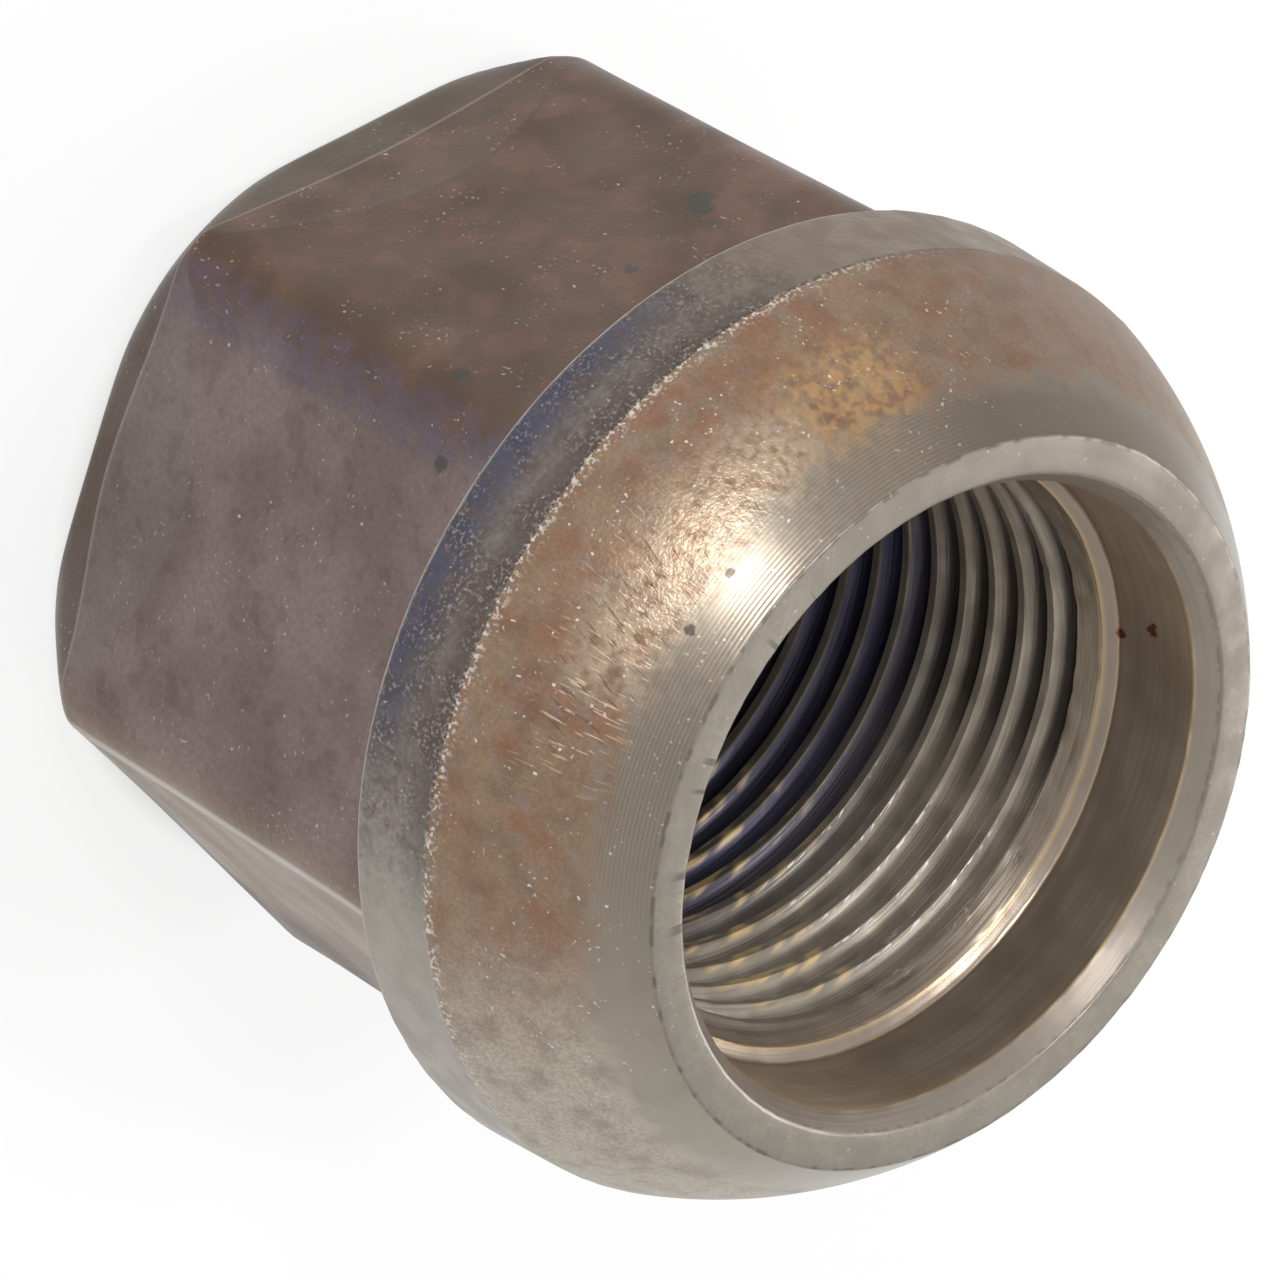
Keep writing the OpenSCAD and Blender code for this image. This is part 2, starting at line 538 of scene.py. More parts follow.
# Materials: all the steel, with one finish for each zone of the nut. In a look, a pattern is its width in mm
# and the noise between which it sets in, a side is a direction round the axis and the degrees from it where
# the side is whole and where it ends, and a reach is two levels in mm between which a mask goes from 0 to 1
patternStep = (17.3, 9.1, 5.7)  # each seed's pattern lies this many mm further along
blotCore = 0.7  # share of a blot that is solid, inside its soft edge


def linear(code):
    parts = [int(code[k : k + 2], 16) / 255 for k in (1, 3, 5)]
    return [p / 12.92 if p <= 0.04045 else ((p + 0.055) / 1.055) ** 2.4 for p in parts] + [1.0]


def addNode(tree, kind, inputs=None, out=0, **settings):
    # adds a node with its settings and links, and gives the output that is asked for
    node = tree.nodes.new("ShaderNode" + kind)
    for name, value in settings.items():
        setattr(node, name, value)
    for key, value in (inputs or {}).items():
        if isinstance(value, bpy.types.NodeSocket):
            tree.links.new(value, node.inputs[key])
        else:
            node.inputs[key].default_value = value
    return node.outputs[out] if node.outputs else None


def startSteel(name, look):
    # a new material with the measures that every steel surface uses, all in mm
    material = bpy.data.materials.new(name)
    material.use_nodes = True
    tree = material.node_tree
    tree.nodes.clear()
    coords = addNode(tree, "TexCoord", out="Object")
    place = addNode(tree, "VectorMath", {0: coords, "Scale": 1 / mm}, operation="SCALE")
    flat = addNode(tree, "VectorMath", {0: place, 1: (1, 1, 0)}, operation="MULTIPLY")
    steel = {
        "look": look,
        "material": material,
        "tree": tree,
        "place": place,
        "height": addNode(tree, "SeparateXYZ", {0: place}, "Z"),
        "radius": addNode(tree, "VectorMath", {0: flat}, "Value", operation="LENGTH"),
        "around": addNode(tree, "VectorMath", {0: flat}, operation="NORMALIZE"),
    }
    for mark in marks:
        steel[mark] = addNode(tree, "Attribute", out="Fac", attribute_name=mark)
    return steel


def patches(steel, pattern, seed, detail=1.0, place=None):
    # soft-edged patches; a high threshold leaves only small scattered specks
    tree = steel["tree"]
    size, low, high = steel["look"][pattern]
    shift = [seed * step for step in patternStep]
    moved = addNode(tree, "VectorMath", {0: place or steel["place"], 1: shift}, operation="ADD")
    cloud = {"Vector": moved, "Scale": 1 / size, "Detail": detail, "Roughness": 0.6}
    limits = {"Value": addNode(tree, "TexNoise", cloud), "From Min": low, "From Max": high}
    return addNode(tree, "MapRange", limits, interpolation_type="SMOOTHSTEP")


def side(steel, sector):
    # 1 towards one side of the nut, fading to 0 away from it
    tree = steel["tree"]
    angle, core, reach = (math.radians(value) for value in steel["look"][sector])
    way = (math.cos(angle), math.sin(angle), 0)
    facing = addNode(tree, "VectorMath", {0: steel["around"], 1: way}, "Value", operation="DOT_PRODUCT")
    limits = {"Value": facing, "From Min": math.cos(reach), "From Max": math.cos(core)}
    return addNode(tree, "MapRange", limits, interpolation_type="SMOOTHSTEP")


def band(steel, reach, base=0.0, measure="height"):
    # where the height, or another measure, lies past a reach that is given from a base
    start, end = steel["look"][reach]
    limits = {"Value": steel[measure], "From Min": base + start, "From Max": base + end}
    return addNode(steel["tree"], "MapRange", limits, interpolation_type="SMOOTHSTEP")


def combine(steel, *masks, operation="MULTIPLY"):
    total = masks[0]
    for mask in masks[1:]:
        total = addNode(steel["tree"], "Math", {0: total, 1: mask}, operation=operation)
    return total


def blots(steel, spots, radius, raggedness):
    # ragged round marks at given angles and heights, on a surface that far from the axis
    tree = steel["tree"]
    cloud = {"Vector": steel["place"], "Scale": 1 / raggedness, "Detail": 0.0}
    stretch = {0: addNode(tree, "TexNoise", cloud, "Color"), 1: (raggedness,) * 3, 2: steel["place"]}
    place = addNode(tree, "VectorMath", stretch, operation="MULTIPLY_ADD")
    made = []
    for angle, height, size in spots:
        turn, far = math.radians(angle), radius(angle, height)
        centre = Vector((far * math.cos(turn), far * math.sin(turn), height))
        centre += Vector((raggedness, raggedness, raggedness)) / 2  # the tearing's own mean shift
        away = addNode(tree, "VectorMath", {0: place, 1: centre}, "Value", operation="DISTANCE")
        limits = {"Value": away, "From Min": size, "From Max": size * blotCore}
        made.append(addNode(tree, "MapRange", limits))
    return combine(steel, *made, operation="MAXIMUM")


def drawnRound(steel, pattern, length):
    # coordinates that stretch a pattern's marks round the axis
    tree, width = steel["tree"], steel["look"][pattern][0]
    section = addNode(tree, "CombineXYZ", {0: steel["radius"], 1: steel["radius"], 2: steel["height"]})
    turned = {0: steel["around"], "Scale": collarRadius * width / length}
    turned = addNode(tree, "VectorMath", turned, operation="SCALE")
    return addNode(tree, "VectorMath", {0: turned, 1: section})


def drawnUp(steel, pattern, length, slant):
    # coordinates that stretch a pattern's marks up the section, leaning round the axis by slant
    tree, width = steel["tree"], steel["look"][pattern][0]
    turned = addNode(tree, "VectorMath", {0: steel["around"], "Scale": collarRadius}, operation="SCALE")
    lean = addNode(tree, "Math", {0: steel["height"], 1: slant / collarRadius}, operation="MULTIPLY")
    turned = addNode(tree, "VectorRotate", {"Vector": turned, "Angle": lean}, rotation_type="Z_AXIS")
    rise = addNode(tree, "Math", {0: steel["height"], 1: width / length}, operation="MULTIPLY")
    return addNode(tree, "VectorMath", {0: turned, 1: addNode(tree, "CombineXYZ", {2: rise})})


def finishSteel(steel, base, layers, smoothness, bumps):
    # a layer is a colour, the masks that say where it lies and its strength; a bump is a mask and its depth
    tree, look = steel["tree"], steel["look"]
    colour, height = linear(look[base]), 0.0
    for over, *masks in layers:
        share = combine(steel, *masks)
        inputs = {0: share, 6: colour, 7: linear(look[over])}  # the mix node takes colours at 6 and 7
        colour = addNode(tree, "Mix", inputs, 2, data_type="RGBA")
    inputs = {"Base Color": colour, **look.get("film", {})}
    for name in ("metallic", "roughness"):
        inputs[name.capitalize()] = look[name]
        if isinstance(look[name], tuple):  # runs from the first value to the second with the smoothness
            limits = {"Value": smoothness, "To Min": look[name][0], "To Max": look[name][1]}
            inputs[name.capitalize()] = addNode(tree, "MapRange", limits)
    for mask, depth in bumps:
        height = addNode(tree, "Math", {0: mask, 1: look[depth], 2: height}, operation="MULTIPLY_ADD")
    if bumps:
        inputs["Normal"] = addNode(tree, "Bump", {"Height": height, "Distance": mm, "Strength": 1.0})
    addNode(tree, "OutputMaterial", {"Surface": addNode(tree, "BsdfPrincipled", inputs)})
    return steel["material"]


# Forged steel under a brown oxide skin and a film of old oil: cloudy brown with a sheen at a slant, stains,
# bare specks and edges worn by rubbing, with a painted highlight along the corner at 240 degrees, a painted
# reflection of the floor that lightens the flat beside it, and violet by the corner at 180 degrees that is
# partly temper tint and partly painted reflection
hexLook = {
    "brown": "#5b412d",
    "dark": "#4a3b31",
    "red": "#74503e",
    "grey": "#726963",
    "mauve": "#7e6d6b",
    # partly temper tint, partly painted reflection of blue surroundings
    "violet": "#55516a",
    "olive": "#584a3e",
    # colour of the painted highlight along the corner at 240 degrees
    "rubbed": "#cdc5bc",
    # colour of the painted reflection of the white floor on the flat at 270 degrees
    "pale": "#a6957f",
    "bare": "#bdb6ad",
    "stain": "#3c3b37",
    "metallic": (0.5, 0.6),
    "roughness": (0.42, 0.56),
    "film": {"Coat Weight": 0.25, "Coat Roughness": 0.3},
    "grain": (0.2, 0.3, 0.7),
    "grainDepth": 0.005,
    "cloud": (4.0, 0.35, 0.65),
    "dust": (1.4, 0.45, 0.7),
    "redPatches": (1.8, 0.45, 0.62),
    "violetPatches": (0.7, 0.1, 0.6),
    "darkPatches": (0.9, 0.52, 0.7),
    "dustSpecks": (0.15, 0.72, 0.82),
    "specks": (0.28, 0.86, 0.9),
    "mauveSide": (212, 24, 31),
    "greySide": (210, 22, 32),
    "violetSide": (184, 1, 5),
    "paleSide": (262, 16, 27),
    "creaseSide": (150, 26, 36),
    "rubbedSide": (243.6, 0.3, 1.8),
    "flatReach": (0.02, 0.3),  # keeps the colours of single flats off the end face
    "stainTear": 0.3,  # how ragged the stains are
    "stains": [  # angle round the axis, height and size
        (132.0, 13.4, 0.55),
        (133.4, 13.9, 0.5),
        (135.0, 3.3, 0.3),
        (136.6, 3.4, 0.26),
        (177.2, 15.8, 0.34),
        (148.9, 15.1, 0.3),
        (187.3, 17.0, 0.36),
        (27.0, 11.0, 0.5),
        (322.0, 7.0, 0.4),
    ],
}


def hexSection(angle, height):
    return float(hexRadius(np.radians(angle)))


def forgedOxideSteel():
    look, steel = hexLook, startSteel("forgedOxideSteel", hexLook)
    grain = patches(steel, "grain", 1)
    cloud = patches(steel, "cloud", 2)
    dusty = patches(steel, "dust", 3, 0.0)
    flats = band(steel, "flatReach")
    stains = blots(steel, look["stains"], hexSection, look["stainTear"])
    layers = [
        ("red", patches(steel, "redPatches", 4), 0.6),
        ("mauve", side(steel, "mauveSide"), flats, 0.85),
        ("dark", cloud, 0.3),
        ("grey", steel["lean"], side(steel, "greySide"), 0.4),
        ("olive", steel["cone"], 0.8),
        # violet by the corner at 180 degrees: partly temper tint, partly painted reflection of blue
        # surroundings
        ("violet", side(steel, "violetSide"), patches(steel, "violetPatches", 8, 0.0), flats, 0.45),
        ("dark", patches(steel, "darkPatches", 5), 0.3),
        # painted reflection of the white floor, lightening the flat at 270 degrees
        ("pale", side(steel, "paleSide"), flats, 0.5),
        ("dark", steel["groove"], side(steel, "creaseSide"), 0.8),
        ("dark", grain, 0.25),
        # painted highlight along the corner at 240 degrees
        ("rubbed", side(steel, "rubbedSide"), flats, 0.55),
        ("bare", patches(steel, "dustSpecks", 6, 0.0), dusty, 0.5),
        ("bare", patches(steel, "specks", 7, 0.0), 0.8),
        ("stain", stains, 0.8),
        ("bare", steel["wear"], 0.3),
    ]
    return finishSteel(steel, "brown", layers, cloud, [(grain, "grainDepth")])


def silverRidge(steel):
    # knocked-bright speckle along the ridge between rim and seat
    near = band(steel, "silverReach", ridgeHeight)
    return combine(steel, near, patches(steel, "silver", 15), side(steel, "silverSide"))


# Turned rim: navy by the back edge on one side, partly temper colour and partly painted reflection of
# blue surroundings, speckled grey, satin elsewhere
rimLook = {
    "grey": "#776f69",
    "brown": "#5f524b",
    "blue": "#41445b",
    "dark": "#4d423d",
    "satin": "#a09990",
    "tan": "#7f7060",
    "edge": "#bdb5aa",
    "bare": "#c0b9b0",
    "metallic": (0.6, 0.7),
    "roughness": (0.36, 0.48),
    "grain": (0.2, 0.3, 0.7),
    "grainDepth": 0.01,
    "cloud": (1.3, 0.35, 0.65),
    "brownPatches": (0.7, 0.48, 0.66),
    "speckle": (0.14, 0.48, 0.8),
    "specks": (0.16, 0.8, 0.86),
    "dirtySide": (190, 28, 52),
    "hotSide": (188, 18, 36),
    "satinSide": (275, 34, 60),
    "tanSide": (100, 40, 64),
    "lineSide": (120, 50, 80),
    "blueReach": (2.5, 0.8),  # over the back edge
    "edgeReach": (0.38, 0.24),  # over the back edge
    "darkReach": (-1.4, -0.3),  # under the ridge
    "lineReach": (-0.22, -0.06),  # under the ridge, a thin dark line
    "silver": (0.16, 0.5, 0.66),
    "silverSide": (200, 42, 80),
    "silverReach": (-0.2, 0.0),  # under the ridge
}


def temperedRimSteel():
    steel = startSteel("temperedRimSteel", rimLook)
    grain = patches(steel, "grain", 11)
    cloud = patches(steel, "cloud", 12)
    dirty = side(steel, "dirtySide")
    back = hexBody["height"]
    heatTintAndReflection = side(steel, "hotSide")
    heatTintAndReflection = combine(steel, heatTintAndReflection, band(steel, "blueReach", back))
    layers = [
        ("brown", cloud, 0.6),
        ("satin", side(steel, "satinSide"), 0.9),
        ("tan", side(steel, "tanSide"), 0.9),
        ("dark", band(steel, "darkReach", ridgeHeight), dirty, 0.6),
        # navy by the back edge: partly temper colour, partly painted reflection of blue surroundings
        ("blue", heatTintAndReflection, 0.85),
        ("brown", patches(steel, "brownPatches", 16), dirty, 0.6),
        ("dark", grain, dirty, 0.4),
        ("bare", patches(steel, "speckle", 13), dirty, cloud, 0.5),
        ("bare", patches(steel, "specks", 14, 0.0), dirty, 0.6),
        ("dark", band(steel, "lineReach", ridgeHeight), side(steel, "lineSide"), 0.6),
        ("edge", band(steel, "edgeReach", back), 0.8),
        ("bare", silverRidge(steel), 0.8),
    ]
    return finishSteel(steel, "grey", layers, cloud, [(grain, "grainDepth")])


# Turned ball seat that wore against a wheel: brown oxide with bare specks, scuffs and a bright turned band,
# a worn smooth patch lightened with a painted highlight, a golden patch partly bronze and partly painted
# sheen, and the turned band darker towards one side
seatLook = {
    "tan": "#8f765f",
    "rust": "#875b41",
    "worn": "#8a8077",
    "brown": "#614e41",
    "bronze": "#bf9660",
    "grey": "#938c80",
    # colour of the painted highlight over the worn smooth patch
    "light": "#cbb69e",
    "smear": "#6e6256",
    "pale": "#b7af9f",
    "scuff": "#d8b79c",
    "bare": "#d9d4cc",
    "pit": "#47423d",
    "metallic": (0.5, 0.85),
    "roughness": (0.42, 0.28),
    "grain": (0.14, 0.3, 0.7),
    "grainDepth": 0.007,
    "cloud": (2.2, 0.35, 0.65),
    "mottle": (0.8, 0.42, 0.66),
    "dust": (1.2, 0.42, 0.68),
    "rustPatches": (1.5, 0.4, 0.66),
    "brownPatches": (1.1, 0.4, 0.8),
    "bronzePatches": (0.35, 0.3, 0.7),
    "lightPatches": (0.4, 0.2, 0.65),
    "dustSpecks": (0.15, 0.72, 0.82),
    "specks": (0.25, 0.84, 0.89),
    "scuffs": (0.1, 0.64, 0.78),
    "gouges": (0.1, 0.68, 0.76),
    "scuffLength": 0.55,
    "scuffDepth": 0.006,
    "scuffSlant": -0.05,
    "gougeSlant": -0.5,
    "rubbedSide": (181, 12, 26),
    "struckSide": (194, 10, 24),
    "lineSide": (182, 28, 58),
    "rustSide": (185, 55, 90),
    "knockedSide": (198, 42, 85),
    "paleSide": (290, 28, 62),
    "farSide": (45, 30, 55),
    "brownSide": (112, 16, 34),
    "bronzeSide": (152, 2, 12),
    "smearSide": (116, 16, 38),
    "turnedReach": (-2.4, -1.1),  # under the end face, where the bright band sets in
    "plainReach": (-1.1, -2.4),  # under the end face, where it has gone
    "turnedTear": 0.4,  # how far that band's edge is torn
    "rubbedReach": (-4.9, -2.5),  # under the end face
    "rubbedShine": 0.5,  # as a share of the turned band's
    "upperReach": (1.2, 3.4),  # over the ridge
    "silver": (0.16, 0.5, 0.66),
    "silverSide": (200, 42, 80),
    "silverReach": (0.5, 0.0),  # over the ridge
    "lineSpacing": 0.11,  # feed of the lathe tool, drawn a little coarser to show
    "lineDepth": 0.0015,
    "pitTear": 0.15,
    "pits": [  # as the stains
        (180.1, 28.64, 0.2),
        (189.1, 28.65, 0.22),
    ],
}


def ballSection(angle, height):
    return math.sqrt(collar["ballRadius"] ** 2 - (height - ballHeight) ** 2)


def scuffedSeatSteel():
    look, steel = seatLook, startSteel("scuffedSeatSteel", seatLook)
    tree = steel["tree"]
    grain = patches(steel, "grain", 21)
    cloud = patches(steel, "cloud", 22)
    mottle = patches(steel, "mottle", 23)
    dusty = patches(steel, "dust", 24, 0.0)
    torn = {0: mottle, 1: look["turnedTear"], 2: steel["height"]}
    steel["tornHeight"] = addNode(tree, "Math", torn, operation="MULTIPLY_ADD")
    turned = band(steel, "turnedReach", nutHeight + look["turnedTear"] / 2, "tornHeight")
    upper = band(steel, "upperReach", ridgeHeight)
    rubbed = side(steel, "rubbedSide")
    rubbed = combine(steel, rubbed, band(steel, "rubbedReach", nutHeight))
    struck = side(steel, "struckSide")
    strokes = drawnUp(steel, "scuffs", look["scuffLength"], look["scuffSlant"])
    plain = band(steel, "plainReach", nutHeight)
    scuff = patches(steel, "scuffs", 25, 0.0, strokes)
    scuff = combine(steel, scuff, struck, plain)
    strokes = drawnUp(steel, "gouges", look["scuffLength"], look["gougeSlant"])
    gouge = patches(steel, "gouges", 26, 0.0, strokes)
    feed = {0: steel["height"], 1: 2 * math.pi / look["lineSpacing"]}
    lines = addNode(tree, "Math", {0: addNode(tree, "Math", feed, operation="MULTIPLY")}, operation="SINE")
    bright = band(steel, "turnedReach", nutHeight)
    lines = combine(steel, lines, bright, side(steel, "lineSide"))
    rough = combine(steel, grain, plain)
    rusted = side(steel, "rustSide")
    knocked = side(steel, "knockedSide")
    layers = [
        ("rust", patches(steel, "rustPatches", 27), rusted, 0.6),
        ("worn", mottle, cloud, 0.45),
        ("pale", side(steel, "paleSide"), 0.9),
        ("pale", side(steel, "farSide"), 0.45),
        ("brown", side(steel, "brownSide"), 0.3),
        ("brown", patches(steel, "brownPatches", 28), 0.4),
        ("brown", rough, 0.32),
        # golden patch: partly bronze tint, partly painted sheen
        ("bronze", side(steel, "bronzeSide"), upper, patches(steel, "bronzePatches", 37), 0.6),
        # painted highlight over the worn smooth patch, which is also smoother
        ("light", rubbed, patches(steel, "lightPatches", 36), 0.7),
        ("grey", turned, 0.8),
        # the turned band darker towards this side
        ("smear", turned, side(steel, "smearSide"), 0.75),
        ("brown", lines, 0.3),
        ("scuff", scuff, upper, 0.75),
        ("brown", gouge, struck, upper, plain, 0.7),
        ("bare", patches(steel, "dustSpecks", 29, 0.0), dusty, knocked, 0.75),
        ("bare", patches(steel, "specks", 30, 0.0), knocked, 0.85),
        ("pit", blots(steel, look["pits"], ballSection, look["pitTear"]), 0.85),
        ("bare", silverRidge(steel), 0.8),
    ]
    smooth = combine(steel, turned, combine(steel, rubbed, look["rubbedShine"]), operation="MAXIMUM")
    bumps = [(rough, "grainDepth"), (scuff, "scuffDepth"), (lines, "lineDepth")]
    return finishSteel(steel, "tan", layers, smooth, bumps)


# Faced end of the mouth: plain warm grey steel, satin, with a dirty outer edge and a few cracks
faceLook = {
    "grey": "#938c81",
    "dull": "#827b71",
    "dirt": "#4a423b",
    "bare": "#c4bdb3",
    "metallic": 0.75,
    "roughness": (0.36, 0.46),
    "grain": (0.2, 0.3, 0.7),
    "cloud": (1.5, 0.35, 0.65),
    "cracks": (0.4, 0.68, 0.72),
    "dirtPatches": (0.6, 0.5, 0.65),
    "specks": (0.18, 0.76, 0.86),
    "dullSide": (120, 30, 60),
    "crackSide": (210, 25, 45),
    "dirtReach": (-0.14, -0.04),  # in from the outer edge
    "crackReach": (0.8, 0.2),  # out from the mouth
}


def facedSteel():
    steel = startSteel("facedSteel", faceLook)
    grain = patches(steel, "grain", 31)
    cloud = patches(steel, "cloud", 32)
    outer = band(steel, "dirtReach", faceRadius, "radius")
    inner = band(steel, "crackReach", mouthRadius, "radius")
    turned = {0: steel["around"], "Scale": mouthRadius}
    spokes = addNode(steel["tree"], "VectorMath", turned, operation="SCALE")
    cracks = patches(steel, "cracks", 33, 0.0, spokes)
    layers = [
        ("dull", cloud, 0.6),
        ("dull", grain, 0.5),
        # darker towards this side
        ("dull", side(steel, "dullSide"), 0.6),
        ("dirt", outer, patches(steel, "dirtPatches", 34, 0.0), 0.45),
        ("dirt", cracks, inner, side(steel, "crackSide"), 0.6),
        ("bare", patches(steel, "specks", 35, 0.0), 0.5),
    ]
    return finishSteel(steel, "grey", layers, cloud, [])


# Bored steel of the mouth's chamfer, the counterbore and the lead cone: satin brown with faint tool rings
boreLook = {
    "steel": "#cdbda8",
    "brown": "#ad9b84",
    "chamfer": "#8c847b",
    "rose": "#8d8077",
    "gold": "#c9ae80",
    "dirt": "#4d4339",
    "rust": "#6b2c1e",
    "metallic": (0.75, 0.7),
    "roughness": (0.3, 0.4),
    "cloud": (2.0, 0.35, 0.65),
    "rings": (0.2, 0.35, 0.65),
    "ringLength": 16.0,
    "ringDepth": 0.003,
    "dirtPatches": (0.35, 0.4, 0.6),
    "mouthReach": (-0.2, -0.05),  # under the end face
    "chamferReach": (-0.1, 0.15),  # over the chamfer's foot
    "roseReach": (0.3, 0.0),  # over the counterbore's floor
    "goldWear": (0.7, 0.98),  # only the very edge is golden
    "rustTear": 0.2,
    "rustSpots": [  # as the stains
        (60.3, 27.2, 0.26),
        (61.4, 27.3, 0.17),
        (56.1, 25.6, 0.23),
    ],
}


def boredSteel():
    look, steel = boreLook, startSteel("boredSteel", boreLook)
    cloud = patches(steel, "cloud", 42)
    ringPlace = drawnRound(steel, "rings", look["ringLength"])
    rings = patches(steel, "rings", 43, 1.0, ringPlace)
    atMouth = band(steel, "mouthReach", nutHeight)
    atChamfer = band(steel, "chamferReach", nutHeight - mouth["chamferHeight"])
    thinEdge = band(steel, "goldWear", measure="wear")
    rusty = blots(steel, look["rustSpots"], lambda angle, height: counterboreRadius, look["rustTear"])
    layers = [
        ("brown", cloud, 0.6),
        ("brown", rings, 0.5),
        ("chamfer", atChamfer, 0.85),
        ("rose", band(steel, "roseReach", counterboreFloor), 0.7),
        ("gold", thinEdge, 0.6),
        ("dirt", steel["wear"], atMouth, patches(steel, "dirtPatches", 45, 0.0), 0.6),
        ("rust", rusty, 0.9),
    ]
    return finishSteel(steel, "steel", layers, atChamfer, [(rings, "ringDepth")])


# Tapped thread: satin grey flanks drawn along the helix, with painted shade in the roots and on one side,
# painted shade deep in the bore and a blue there that is partly temper tint and partly painted reflection,
# and painted white and golden glints on the crests
threadLook = {
    "flank": "#b6ac9d",
    "olive": "#90867a",
    # dark colour of the painted shade
    "root": "#2b2620",
    # partly temper tint, partly painted reflection of blue surroundings
    "blue": "#44466c",
    "runOut": "#75695a",
    # colour of the painted golden glints
    "gold": "#ecce98",
    # colour of the painted white glints on the crests
    "bare": "#f0ece6",
    "metallic": 0.45,
    "roughness": (0.3, 0.42),
    "cloud": (1.5, 0.35, 0.65),
    "drawn": (0.12, 0.35, 0.65),
    "drawnLength": 5.0,
    "drawnDepth": 0.004,
    "flecks": (0.1, 0.56, 0.66),
    "fleckLength": 0.5,
    "glints": (0.5, 0.4, 0.72),
    "glintLength": 1.3,
    "rootSide": (110, 60, 105),
    "shadeSide": (76, 40, 66),
    "goldSide": (320, 6, 18),
    "deepGoldSide": (342, 6, 18),
    "bareSide": (352, 8, 24),
    # levels in the groove, which is 0 on the crest and 1 at the root
    "crestFoot": (0.14, 0.05),
    "crestTop": (0.005, 0.03),
    "nearCrest": (0.35, 0.05),
    "rootGroove": (0.75, 1.0),
    "shadeGroove": (0.25, 0.6),
    "blueGroove": (0.04, 0.12),
    # heights in the bore
    "darkHeights": (20.5, 14.0),
    "blueHeights": (18.5, 14.5),
    "deepGoldHeights": (18.0, 16.0),
    "bareHeights": (15.0, 18.0),
    "cutReach": (-1.4, -2.4),  # under the thread's top, where the crests are cut in full
    "runOutReach": (-1.3, -0.5),  # under the thread's top
}


def tappedSteel():
    look, steel = threadLook, startSteel("tappedSteel", threadLook)
    cloud = patches(steel, "cloud", 52)
    drawnPlace = drawnRound(steel, "drawn", look["drawnLength"])
    drawn = patches(steel, "drawn", 53, 1.0, drawnPlace)
    crest = band(steel, "crestFoot", measure="groove")
    crest = combine(steel, crest, band(steel, "crestTop", measure="groove"))
    glintFleckPlace = drawnRound(steel, "flecks", look["fleckLength"])
    flecks = patches(steel, "flecks", 54, 0.0, glintFleckPlace)
    glintPlace = drawnRound(steel, "glints", look["glintLength"])
    glints = patches(steel, "glints", 55, 0.0, glintPlace)
    onCrest = band(steel, "nearCrest", measure="groove")
    cut = band(steel, "cutReach", threadTop)
    runOut = band(steel, "runOutReach", threadTop)
    layers = [
        ("olive", cloud, 0.7),
        ("olive", drawn, 0.5),
        # painted shade in the roots on this side
        ("root", band(steel, "rootGroove", measure="groove"), side(steel, "rootSide"), 0.75),
        # painted shade down the flanks on this side
        ("root", band(steel, "shadeGroove", measure="groove"), side(steel, "shadeSide"), 0.85),
        # painted shade deep in the bore
        ("root", band(steel, "darkHeights"), 0.62),
        # blue in the grooves: partly temper tint, partly painted reflection of blue surroundings
        ("blue", band(steel, "blueHeights"), band(steel, "blueGroove", measure="groove"), 0.7),
        # painted golden glints on the crests, in this and the next layer
        ("gold", glints, onCrest, side(steel, "goldSide"), cut, 0.9),
        ("gold", glints, onCrest, side(steel, "deepGoldSide"), band(steel, "deepGoldHeights"), 0.8),
        # painted white glints along the crests
        ("bare", flecks, crest, side(steel, "bareSide"), band(steel, "bareHeights"), 0.95),
        ("runOut", runOut, 0.75),
    ]
    return finishSteel(steel, "flank", layers, drawn, [(drawn, "drawnDepth")])


# in the order of the zones
for makeSteel in (forgedOxideSteel, temperedRimSteel, scuffedSeatSteel, facedSteel, boredSteel, tappedSteel):
    nut.data.materials.append(makeSteel())
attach(nut, "root")
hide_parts("lug_nut")
print("materials:", [material.name for material in nut.data.materials])

# White sweep that the nut stands on
floorLook = {
    "size": 3000,
    "white": "#f7f7f7",
    "lift": 0.8,  # share of plain white in what the eye sees
    "under": (12, 15),  # from the axis, where that white sets in
}


def buildFloor():
    half = floorLook["size"] / 2 * mm
    mesh = bpy.data.meshes.new("floor")
    corners = [(-half, -half, 0), (half, -half, 0), (half, half, 0), (-half, half, 0)]
    mesh.from_pydata(corners, [], [(0, 1, 2, 3)])
    floor = bpy.data.objects.new("floor", mesh)
    bpy.context.scene.collection.objects.link(floor)
    material = bpy.data.materials.new("whitePaperSweep")
    material.use_nodes = True
    tree = material.node_tree
    tree.nodes.clear()
    # the eye, and gloss and glass, see the paper as nearly white, with what is left of the shadow
    seen = addNode(tree, "LightPath", out="Is Camera Ray")
    for ray in ("Is Glossy Ray", "Is Transmission Ray"):
        seen = addNode(tree, "Math", {0: seen, 1: addNode(tree, "LightPath", out=ray)}, operation="MAXIMUM")
    # but under the nut, and so at the bottom of its bore, the paper lies in the dark
    coords = addNode(tree, "TexCoord", out="Object")
    away = addNode(tree, "VectorMath", {0: coords}, "Value", operation="LENGTH")
    start, end = floorLook["under"]
    limits = {"Value": away, "From Min": start * mm, "From Max": end * mm, "To Max": floorLook["lift"]}
    share = addNode(tree, "Math", {0: seen, 1: addNode(tree, "MapRange", limits)}, operation="MULTIPLY")
    paper = addNode(tree, "BsdfDiffuse", {"Color": linear(floorLook["white"])})
    glow = addNode(tree, "Emission", {"Color": (1, 1, 1, 1), "Strength": 1.0})
    mix = addNode(tree, "MixShader", {0: share, 1: paper, 2: glow})
    addNode(tree, "OutputMaterial", {"Surface": mix})
    floor.data.materials.append(material)
    print("floor:", floorLook["size"], "mm wide")


buildFloor()

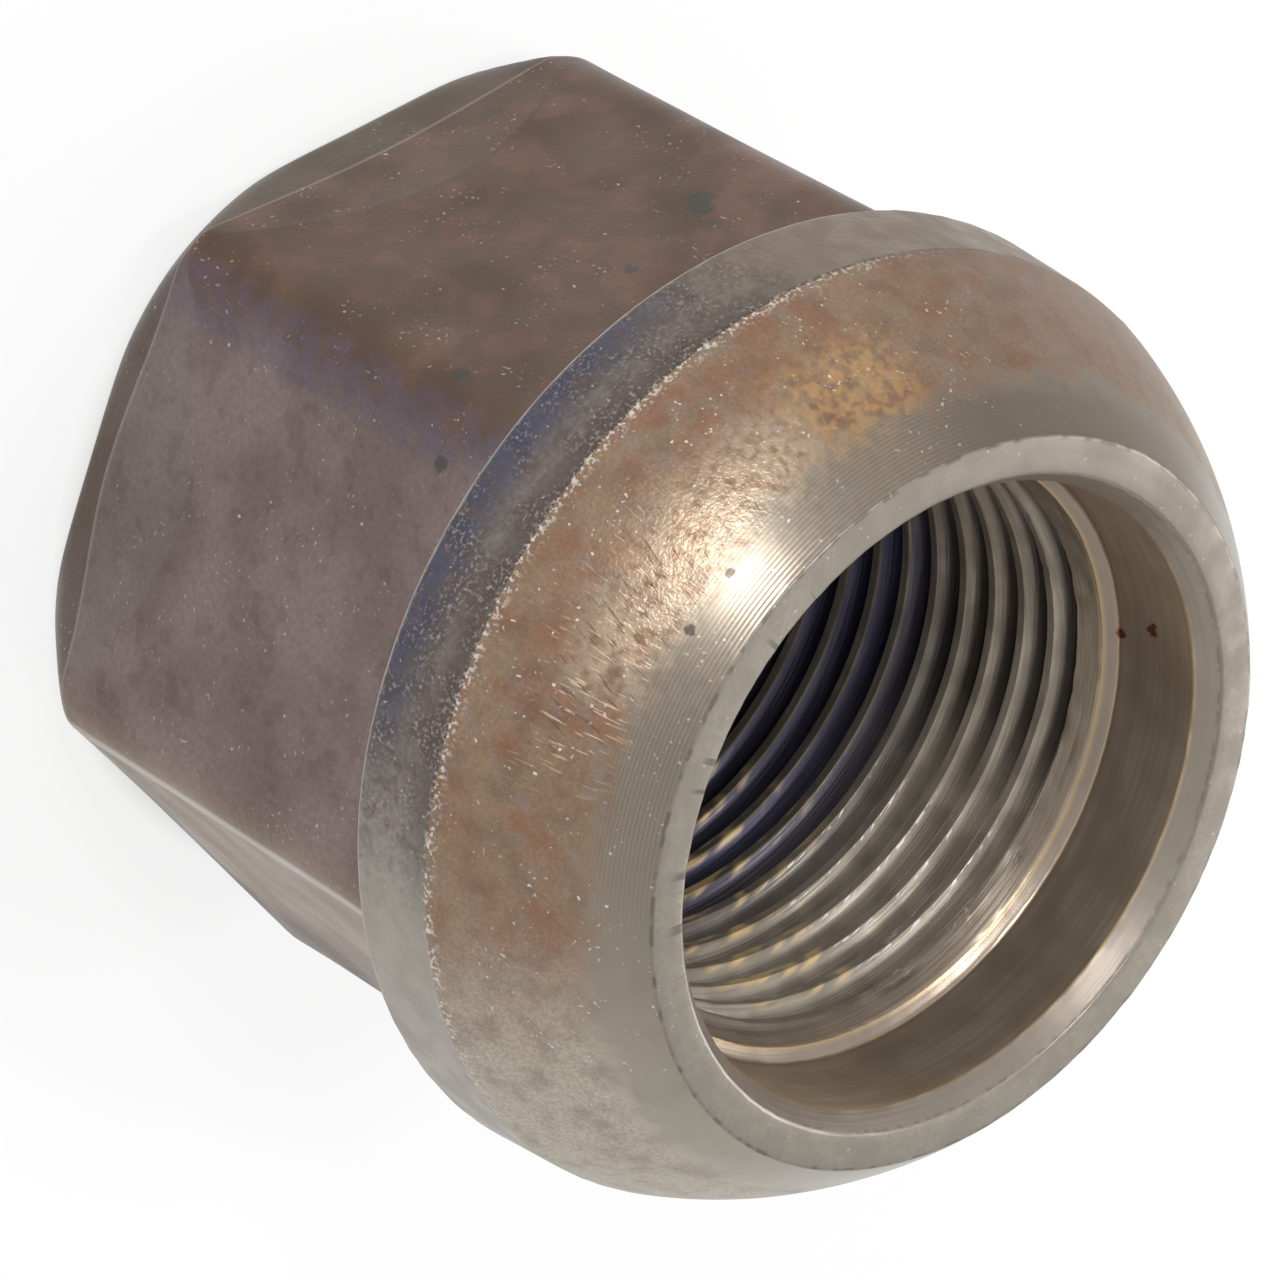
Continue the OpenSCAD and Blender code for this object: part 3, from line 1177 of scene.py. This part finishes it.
# Soft studio light: a pale room that is darker overhead, a small key by the camera and two broad fills
studio = {
    "roomLow": 1.0,
    "roomHigh": 0.55,
    "lamps": [
        {"name": "key", "towards": (-0.81, 0.16, 0.56), "distance": 380, "size": 70, "watts": 0.38},
        {"name": "top", "towards": (-0.12, 0.3, 0.95), "distance": 420, "size": 100, "watts": 0.4},
        {"name": "right", "towards": (0.7, 0.5, 0.5), "distance": 420, "size": 240, "watts": 0.6},
    ],
}


def lightStudio():
    world = bpy.data.worlds.new("paleRoom")
    bpy.context.scene.world = world
    world.use_nodes = True
    tree = world.node_tree
    tree.nodes.clear()
    rise = addNode(tree, "SeparateXYZ", {0: addNode(tree, "TexCoord", out="Generated")}, "Z")
    limits = {"Value": rise, "To Min": studio["roomLow"], "To Max": studio["roomHigh"]}
    level = addNode(tree, "MapRange", limits)
    room = addNode(tree, "Background", {"Color": (1, 1, 1, 1), "Strength": level})
    addNode(tree, "OutputWorld", {"Surface": room})
    centre = Vector((0, 0, nutHeight / 2 * mm))
    for lamp in studio["lamps"]:
        light = bpy.data.lights.new(lamp["name"], "AREA")
        light.size = lamp["size"] * mm
        light.energy = lamp["watts"]
        holder = bpy.data.objects.new(lamp["name"], light)
        way = Vector(lamp["towards"]).normalized()
        holder.location = centre + way * lamp["distance"] * mm
        holder.rotation_euler = (-way).to_track_quat("-Z", "Y").to_euler()
        bpy.context.scene.collection.objects.link(holder)
    print("lamps:", [lamp["name"] for lamp in studio["lamps"]])


lightStudio()

# Camera of the photograph: long lens, held at a roll
photoView = {
    "azimuth": -168.742,
    "elevation": 42.563,
    "roll": 120.447,
    "distance": 285.8,
    "aim": (-0.394, -0.637, 14.444),
    "lens": 236.29,
    "sensor": 36,
    "nearest": 10,  # what lies nearer the lens is not drawn
}


def placeCamera():
    lens = bpy.data.cameras.new("photoCamera")
    lens.lens = photoView["lens"]
    lens.sensor_width = photoView["sensor"]
    lens.clip_start = photoView["nearest"] * mm
    camera = bpy.data.objects.new("photoCamera", lens)
    turn, rise = math.radians(photoView["azimuth"]), math.radians(photoView["elevation"])
    back = Vector((math.cos(turn) * math.cos(rise), math.sin(turn) * math.cos(rise), math.sin(rise)))
    camera.location = (Vector(photoView["aim"]) + back * photoView["distance"]) * mm
    upright = (-back).to_track_quat("-Z", "Y")
    camera.rotation_mode = "QUATERNION"
    camera.rotation_quaternion = upright @ Quaternion((0, 0, 1), math.radians(photoView["roll"]))
    bpy.context.scene.collection.objects.link(camera)
    bpy.context.scene.camera = camera
    print("camera:", photoView["lens"], "mm lens,", photoView["distance"], "mm away")


placeCamera()
bpy.context.scene.view_settings.view_transform = "Standard"
